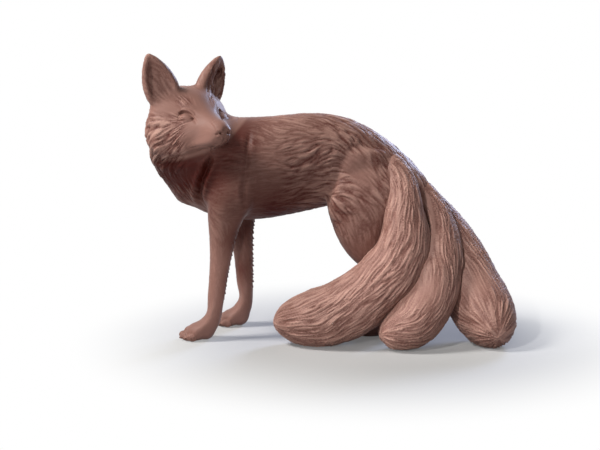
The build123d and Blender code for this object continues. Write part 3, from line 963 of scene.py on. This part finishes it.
# grain, length and step of the two combs, how much the locks come and go, then the base tint and its streaks
# of painted shade and painted highlight
bodyComb = {"hair": (2, 4.0, 0.35), "lock": (6, 4.6, 0.4), "patchy": 0.45, "base": 0.5, "tone": 0.75}
cutFur(body, flow, fine, tuft, skin["voxel"], bodyComb)
print("coat cut")

# Tails: the routes that they follow, as in the castings
tailRoutes = {
    "near_tail": [(17, -3, 74), (25.2, -7, 69.5), (29.6, -10, 60), (31, -13.8, 48), (27, -18, 34),
                  (15, -20.5, 21), (0, -20.5, 12.2), (-12, -19.5, 9.8), (-22.5, -18.5, 8.8)],
    "middle_tail": [(21, 2, 66), (32.5, 0.5, 59.5), (39, -5, 48.5), (41.2, -12.5, 34.5),
                    (38, -20, 20.5), (29.5, -26, 9.8), (18.5, -31, 8.4)],
    "outer_tail": [(21, 7, 64), (32.5, 8.5, 57.5), (41.5, 5, 46.5), (48.8, -2, 33),
                   (55.8, -11, 19), (60.3, -20, 11), (62, -32.5, 7.6)],
}
tailTouch = {
    "near_tail": ["torso", "left_hind_leg", "middle_tail"],
    "middle_tail": ["torso", "near_tail", "outer_tail"],
    "outer_tail": ["torso", "near_tail", "middle_tail"],
}
# the routes are given from the middle of the body
routeShift = np.array((0.8, medianY, 0.0))
tailFur = {"voxel": 0.32, "rounds": 6, "fine": 0.26, "tuft": 0.25, "length": 16.0, "tilt": 0.2}
# the tails' base tint is paler than the body's, partly as painted light for the brighter light that falls on
# them
tailComb = {"hair": (1, 6.5, 0.35), "lock": (4, 7.5, 0.4), "patchy": 0.35, "base": 0.64, "tone": 0.66}


def routeLine(points):
    # a smooth line through the points, and its direction
    points = np.array(points, float) + routeShift
    ends = np.vstack([2 * points[0] - points[1], points, 2 * points[-1] - points[-2]])
    line = []
    for k in range(1, len(ends) - 2):
        a, b, c, d = ends[k - 1 : k + 3]
        bend = 2 * a - 5 * b + 4 * c - d
        twist = 3 * b - a - 3 * c + d
        for t in np.linspace(0, 1, 16, endpoint=False):
            line.append(0.5 * (2 * b + (c - a) * t + bend * t**2 + twist * t**3))
    line = np.array(line + [ends[-2]])
    return line, unit(np.gradient(line, axis=0))


def clearOf(co, names, most):
    # how far each point is from the pieces that it may rest on
    gap = np.full(len(co), most)
    graph = bpy.context.evaluated_depsgraph_get()
    for name in names:
        tree = BVHTree.FromObject(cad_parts[name], graph)
        for k, point in enumerate(co):
            hit = tree.find_nearest(point * mm, gap[k] * mm)
            if hit[3] is not None:
                gap[k] = min(gap[k], hit[3] / mm)
    return gap


tailClay = {"near_tail": [((29.0, -2.6, 62.0), (5.7, 4.8, 6.5))]}
# how a tail is drawn across: height and spread of the draw, shift, how much of it the rear side keeps
tailDraw = {
    "near_tail": (54.0, 12.0, (-3.4, -1.0, 0.0), 1.0),
    "middle_tail": (54.0, 12.0, (-4.2, -0.8, 0.0), 0.0),
}
# the near tail's root goes in under the rump and narrows there
tailSink = {"near_tail": (-1.8, 1.5, -0.8)}
tailTaper = {"near_tail": 0.75}
# heights between which the root is smoothed and sunk, rounds, and the share of the route that narrows
tailRoot = {"smooth": (45, 52), "fill": 120, "even": 30, "sink": (58, 73), "narrow": (0.13, 0.02)}
# bare places rubbed smooth on the two farther tails: centre and radius
smoothSpots = {"middle_tail": ((37.0, -22.0, 24.0), 9.0), "outer_tail": ((56.0, -14.0, 24.0), 9.0)}


def nearestOn(line, co):
    return np.argmin(((co[:, None, :] - line[None, :, :]) ** 2).sum(2), axis=1)


def drawTail(piece, name, line):
    height, spread, shift, kept = tailDraw[name]
    root = ramp(readPoints(piece)[:, 2], *tailRoot["smooth"])
    fillCreases(piece, root, tailRoot["fill"])
    relax(piece, root, tailRoot["even"])
    co = readPoints(piece)
    middle = np.interp(co[:, 2], line[::-1, 2], line[::-1, 0])
    share = kept + (1 - kept) * ramp(middle - co[:, 0], -4.0, 4.0)
    co += np.outer(bell(co[:, 2] - height, spread) * share, shift)
    co += np.outer(ramp(co[:, 2], *tailRoot["sink"]), tailSink.get(name, (0, 0, 0)))
    nearest = nearestOn(line, co)
    start, end = tailRoot["narrow"]
    taper = tailTaper.get(name, 0) * ramp(-nearest / (len(line) - 1), -start, -end)
    writePoints(piece, co + (line[nearest] - co) * taper[:, None])


tails = {}
for name in tailNodes:
    parts = [copyNodes([name], "fox_" + name)]
    for centre, sizes in tailClay.get(name, []):
        parts.append(layClay(name + "Clay", centre, sizes, (1, 0, 0), (0, 1, 0)))
    piece = fuse(joinAs(parts, "fox_" + name), tailFur["voxel"], tailFur["rounds"])
    line, way = routeLine(tailRoutes[name])
    if name in tailDraw:
        drawTail(piece, name, line)
    co, nrm = readPoints(piece), readNormals(piece)
    nearest = nearestOn(line, co)
    share = nearest / (len(line) - 1)
    # the hair runs straight at the tip
    angle = sway(co, tailFur["length"], tailFur["tilt"]) * ramp(-share, -1.0, -0.85)
    flow = turned(nrm, laidOn(nrm, way[nearest]), angle)
    gap = clearOf(co, tailTouch[name], 3.0)
    depth = ramp(gap, 0.1, 1.3) * ramp(co[:, 2], 0.05, 0.6)
    if name in smoothSpots:
        centre, radius = smoothSpots[name]
        depth *= 1 - 0.75 * bell(np.linalg.norm(co - np.array(centre), axis=1), radius)
    cutFur(piece, flow, tailFur["fine"] * depth, tailFur["tuft"] * depth, tailFur["voxel"], tailComb)
    tails[name] = piece
    print(name, len(piece.data.vertices))


# materials
def linear(hexText):
    parts = [int(hexText[i : i + 2], 16) / 255 for i in (1, 3, 5)]
    return [c / 12.92 if c <= 0.04045 else ((c + 0.055) / 1.055) ** 2.4 for c in parts] + [1.0]


def addNode(tree, kind, inputs=None, **settings):
    node = tree.nodes.new(kind)
    for key, value in settings.items():
        setattr(node, key, value)
    for key, value in (inputs or {}).items():
        if isinstance(value, bpy.types.NodeSocket):
            tree.links.new(value, node.inputs[key])
        else:
            node.inputs[key].default_value = value
    return node


def newMaterial(name):
    material = bpy.data.materials.new(name)
    material.use_nodes = True
    tree = material.node_tree
    tree.nodes.clear()
    return material, tree


# Tinted polyurethane casting resin, matt from the mould: the hollows of the coat are painted a deeper, redder
# shade and the crests a paler tone as a painted highlight, the painted shadow below the head and belly
# deepens it further, and a fine grain breaks up the shine
castResin, tree = newMaterial("tinted_cast_resin")
place = addNode(tree, "ShaderNodeTexCoord")
toneAndPaintedShade = addNode(tree, "ShaderNodeAttribute", attribute_name="toneAndPaintedShade", attribute_type="GEOMETRY")
# the deep colour carries the painted shade and shadow, the pale one the painted highlight on the crests as
# well as the resin's own tint
tone = addNode(
    tree,
    "ShaderNodeMix",
    {"Factor": toneAndPaintedShade.outputs["Fac"], "A": linear("#4a1206"), "B": linear("#ae877a")},
    data_type="RGBA",
)
grain = addNode(
    tree,
    "ShaderNodeTexNoise",
    {"Vector": place.outputs["Object"], "Scale": 1 / (0.5 * mm), "Detail": 3.0, "Roughness": 0.6},
)
gloss = addNode(
    tree,
    "ShaderNodeMapRange",
    {"Value": grain.outputs["Fac"], "From Min": 0.3, "From Max": 0.7, "To Min": 0.48, "To Max": 0.56},
)
bump = addNode(
    tree,
    "ShaderNodeBump",
    {"Height": grain.outputs["Fac"], "Strength": 0.12, "Distance": 0.05 * mm},
)
shader = addNode(
    tree,
    "ShaderNodeBsdfPrincipled",
    {
        "Base Color": tone.outputs["Result"],
        "Roughness": gloss.outputs["Result"],
        "Specular IOR Level": 0.2,
        "Sheen Weight": 0.05,
        "Sheen Roughness": 0.45,
        "Normal": bump.outputs["Normal"],
    },
)
addNode(tree, "ShaderNodeOutputMaterial", {"Surface": shader.outputs["BSDF"]})

# Ground steel rod for the dowels: the wheel leaves a fine, uneven shine
groundSteel, tree = newMaterial("ground_steel_rod")
place = addNode(tree, "ShaderNodeTexCoord")
scratches = addNode(
    tree,
    "ShaderNodeTexNoise",
    {"Vector": place.outputs["Object"], "Scale": 1 / (0.2 * mm), "Detail": 2.0},
)
gloss = addNode(
    tree,
    "ShaderNodeMapRange",
    {"Value": scratches.outputs["Fac"], "To Min": 0.22, "To Max": 0.38},
)
shader = addNode(
    tree,
    "ShaderNodeBsdfPrincipled",
    {"Base Color": linear("#b9bbbd"), "Metallic": 1.0, "Roughness": gloss.outputs["Result"]},
)
addNode(tree, "ShaderNodeOutputMaterial", {"Surface": shader.outputs["BSDF"]})
for name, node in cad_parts.items():
    if name.endswith("dowel"):
        node.data.materials.clear()
        node.data.materials.append(groundSteel)


def capRim(piece):
    # closes the cut with one flat face and keeps its edge sharp
    pick(piece)
    bpy.ops.object.mode_set(mode="EDIT")
    bpy.ops.mesh.select_mode(type="EDGE")
    bpy.ops.mesh.select_all(action="DESELECT")
    bpy.ops.mesh.select_non_manifold(
        extend=False,
        use_wire=False,
        use_boundary=True,
        use_multi_face=False,
        use_non_contiguous=False,
        use_verts=False,
    )
    bpy.ops.mesh.mark_sharp()
    bpy.ops.mesh.edge_face_add()
    bpy.ops.mesh.select_mode(type="FACE")
    objectMode()


def cutOff(piece, newName, point, normal, near):
    # cuts where the plane meets the faces that near() picks, and makes the far side its own piece
    centres = faceCentres(piece)
    selectFaces(piece, near(centres) & (np.abs((centres - point) @ normal) < 2))
    bpy.ops.object.mode_set(mode="EDIT")
    bpy.ops.mesh.bisect(plane_co=np.array(point) * mm, plane_no=normal, threshold=1e-7)
    objectMode()
    centres = faceCentres(piece)
    selectFaces(piece, near(centres) & ((centres - point) @ normal > 0))
    bpy.ops.object.mode_set(mode="EDIT")
    bpy.ops.mesh.separate(type="SELECTED")
    objectMode()
    part = [obj for obj in bpy.context.selected_objects if obj != piece][0]
    part.name = newName
    part.data.name = newName
    capRim(part)
    capRim(piece)
    return part


# where the castings part: the legs' height, the neck's plane, and the ears' place along their own length
seams = {
    "legHeight": 46.0,
    "neckPoint": headSeam["point"],
    "neckLean": 34.0,
    "earHeight": 9.0,
}
lean = math.radians(seams["neckLean"])
neckNormal = np.array((-math.sin(lean), 0, math.cos(lean)))
shown = {}
shown["head"] = cutOff(body, "fox_head", seams["neckPoint"], neckNormal, lambda c: c[:, 0] < -15)
for hand, name in ((1, "left_ear"), (-1, "right_ear")):
    root, along, across, front = earFrame(hand)

    def nearEar(centres):
        rel = centres - root
        up = rel @ along
        return (up > 5) & (np.linalg.norm(rel - np.outer(up, along), axis=1) < 9.5)

    shown[name] = cutOff(shown["head"], "fox_" + name, root + along * seams["earHeight"], along, nearEar)
for name in ("left_foreleg", "right_foreleg", "left_hind_leg", "right_hind_leg"):
    low, high = [np.array(corner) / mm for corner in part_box(name)]

    def nearLeg(centres):
        flat = centres[:, :2]
        return (flat > low[:2] - 4).all(1) & (flat < high[:2] + 4).all(1) & (centres[:, 2] < 50)

    seam = np.array((low[0], low[1], seams["legHeight"]))
    shown[name] = cutOff(body, "fox_" + name, seam, np.array((0, 0, -1.0)), nearLeg)
body.name = "fox_torso"
shown["torso"] = body
shown.update(tails)
print("cut into pieces", {name: len(piece.data.polygons) for name, piece in shown.items()})

for name, piece in shown.items():
    piece.data.materials.clear()
    piece.data.materials.append(castResin)
    pick(piece)
    bpy.ops.object.shade_smooth()
    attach(piece, "root")
    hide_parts(name)


def seesBackdrop(tree):
    # the camera, shiny surfaces and clear ones all see the same white surroundings
    path = addNode(tree, "ShaderNodeLightPath")
    rays = path.outputs["Is Camera Ray"]
    for kind in ("Is Glossy Ray", "Is Transmission Ray"):
        either = addNode(tree, "ShaderNodeMath", {0: rays, 1: path.outputs[kind]}, operation="MAXIMUM")
        rays = either.outputs[0]
    return rays


# floor, lights and camera
paper = {"metres": 6, "grey": "#b4b4b4", "glow": 0.1, "centre": (-15, 0, 0), "fadeFrom": 40, "fadeTo": 120}
surroundings = {"light": 0.12, "seen": 1.0}
plainWhite = [1, 1, 1, 1]
black = [0, 0, 0, 1]
bpy.ops.mesh.primitive_plane_add(size=paper["metres"], location=(0, 0, 0))
floor = bpy.context.active_object
floor.name = "studioFloor"
# White studio paper: keeps the soft shadow round the figure and runs out to plain white
floorMaterial, tree = newMaterial("white_studio_paper")
place = addNode(tree, "ShaderNodeTexCoord")
shift = [value * mm for value in paper["centre"]]
centred = addNode(tree, "ShaderNodeMapping", {"Vector": place.outputs["Object"], "Location": shift})
away = addNode(tree, "ShaderNodeVectorMath", {0: centred.outputs[0]}, operation="LENGTH")
fade = addNode(
    tree,
    "ShaderNodeMapRange",
    {"Value": away.outputs["Value"], "From Min": paper["fadeFrom"] * mm, "From Max": paper["fadeTo"] * mm},
    interpolation_type="SMOOTHSTEP",
)
backdropRay = seesBackdrop(tree)
sheet = addNode(tree, "ShaderNodeBsdfDiffuse", {"Color": linear(paper["grey"])})
glow = addNode(tree, "ShaderNodeEmission", {"Color": plainWhite, "Strength": paper["glow"]})
dark = addNode(tree, "ShaderNodeEmission", {"Color": black, "Strength": 0.0})
seenGlow = addNode(tree, "ShaderNodeMixShader", {0: backdropRay, 1: dark.outputs[0], 2: glow.outputs[0]})
near = addNode(tree, "ShaderNodeAddShader", {0: sheet.outputs[0], 1: seenGlow.outputs[0]})
far = addNode(tree, "ShaderNodeEmission", {"Color": plainWhite, "Strength": surroundings["seen"]})
outside = addNode(tree, "ShaderNodeMath", {0: fade.outputs["Result"], 1: backdropRay}, operation="MULTIPLY")
mix = addNode(tree, "ShaderNodeMixShader", {0: outside.outputs[0], 1: near.outputs[0], 2: far.outputs[0]})
addNode(tree, "ShaderNodeOutputMaterial", {"Surface": mix.outputs[0]})
floor.data.materials.append(floorMaterial)
floor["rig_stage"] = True

world = bpy.data.worlds.new("studio")
bpy.context.scene.world = world
world.use_nodes = True
tree = world.node_tree
tree.nodes.clear()
soft = addNode(tree, "ShaderNodeBackground", {"Color": plainWhite, "Strength": surroundings["light"]})
white = addNode(tree, "ShaderNodeBackground", {"Color": plainWhite, "Strength": surroundings["seen"]})
mix = addNode(
    tree,
    "ShaderNodeMixShader",
    {0: seesBackdrop(tree), 1: soft.outputs[0], 2: white.outputs[0]},
)
addNode(tree, "ShaderNodeOutputWorld", {"Surface": mix.outputs[0]})

# swing is the angle from the camera's side, to the right; height is the angle above the floor
middle = (0, 0, 50)
areaLamps = {
    "keyLamp": {"swing": -78, "height": 48, "distance": 800, "size": 200, "power": 6.4, "colour": "#fffcf8"},
    "fillLamp": {"swing": 0, "height": 30, "distance": 800, "size": 300, "power": 0.7, "colour": "#ffffff"},
    "rimLamp": {"swing": 146, "height": 24, "distance": 600, "size": 160, "power": 3.0, "colour": "#c8d8ff"},
}
# lamps with a narrow snoot: aim, swing, height and power, then the lit patch's radius, its blend and the bulb
snootDistance = 700
spotLamps = {
    "faceLamp": ((-56.5, -5, 99), -42, 6, 7.8, 27, 0.15, 6),
    "pawLamp": ((-52, -4, 23), -5, 12, 10.0, 25, 0.6, 16),
    "tailLamp": ((48, -14, 37), -35, 35, 11.0, 47, 0.6, 16),
    "tailFootLamp": ((6, -20, 8), -30, 15, 7.8, 36, 0.6, 16),
}


def addLamp(kind, name, aim, swing, height, distance, power):
    aim = Vector(aim)
    a, e = math.radians(swing), math.radians(height)
    spot = aim + distance * Vector((math.sin(a) * math.cos(e), -math.cos(a) * math.cos(e), math.sin(e)))
    bpy.ops.object.light_add(type=kind, location=spot * mm)
    lamp = bpy.context.active_object
    lamp.name = name
    lamp.data.energy = power
    lamp.rotation_euler = (aim - spot).to_track_quat("-Z", "Y").to_euler()
    return lamp.data


for name, lamp in areaLamps.items():
    light = addLamp("AREA", name, middle, lamp["swing"], lamp["height"], lamp["distance"], lamp["power"])
    light.size = lamp["size"] * mm
    light.color = linear(lamp["colour"])[:3]
for name, (aim, swing, height, power, radius, blend, bulb) in spotLamps.items():
    light = addLamp("SPOT", name, aim, swing, height, snootDistance, power)
    light.shadow_soft_size = bulb * mm
    light.spot_size = 2 * math.atan(radius / snootDistance)
    light.spot_blend = blend
print("floor and lamps placed")

view = {"target": (-11.6, medianY, 44.1), "distance": 533.0, "elevation": 9.0, "lens": 80.0, "sensor": 36}
pitch = math.radians(view["elevation"])
spot = Vector(view["target"]) + view["distance"] * Vector((0, -math.cos(pitch), math.sin(pitch)))
bpy.ops.object.camera_add(location=spot * mm)
camera = bpy.context.active_object
camera.name = "photoCamera"
camera.rotation_euler = (math.radians(90 - view["elevation"]), 0, 0)
camera.data.lens = view["lens"]
camera.data.sensor_width = view["sensor"]
bpy.context.scene.camera = camera
bpy.context.scene.view_settings.view_transform = "Standard"

low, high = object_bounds()
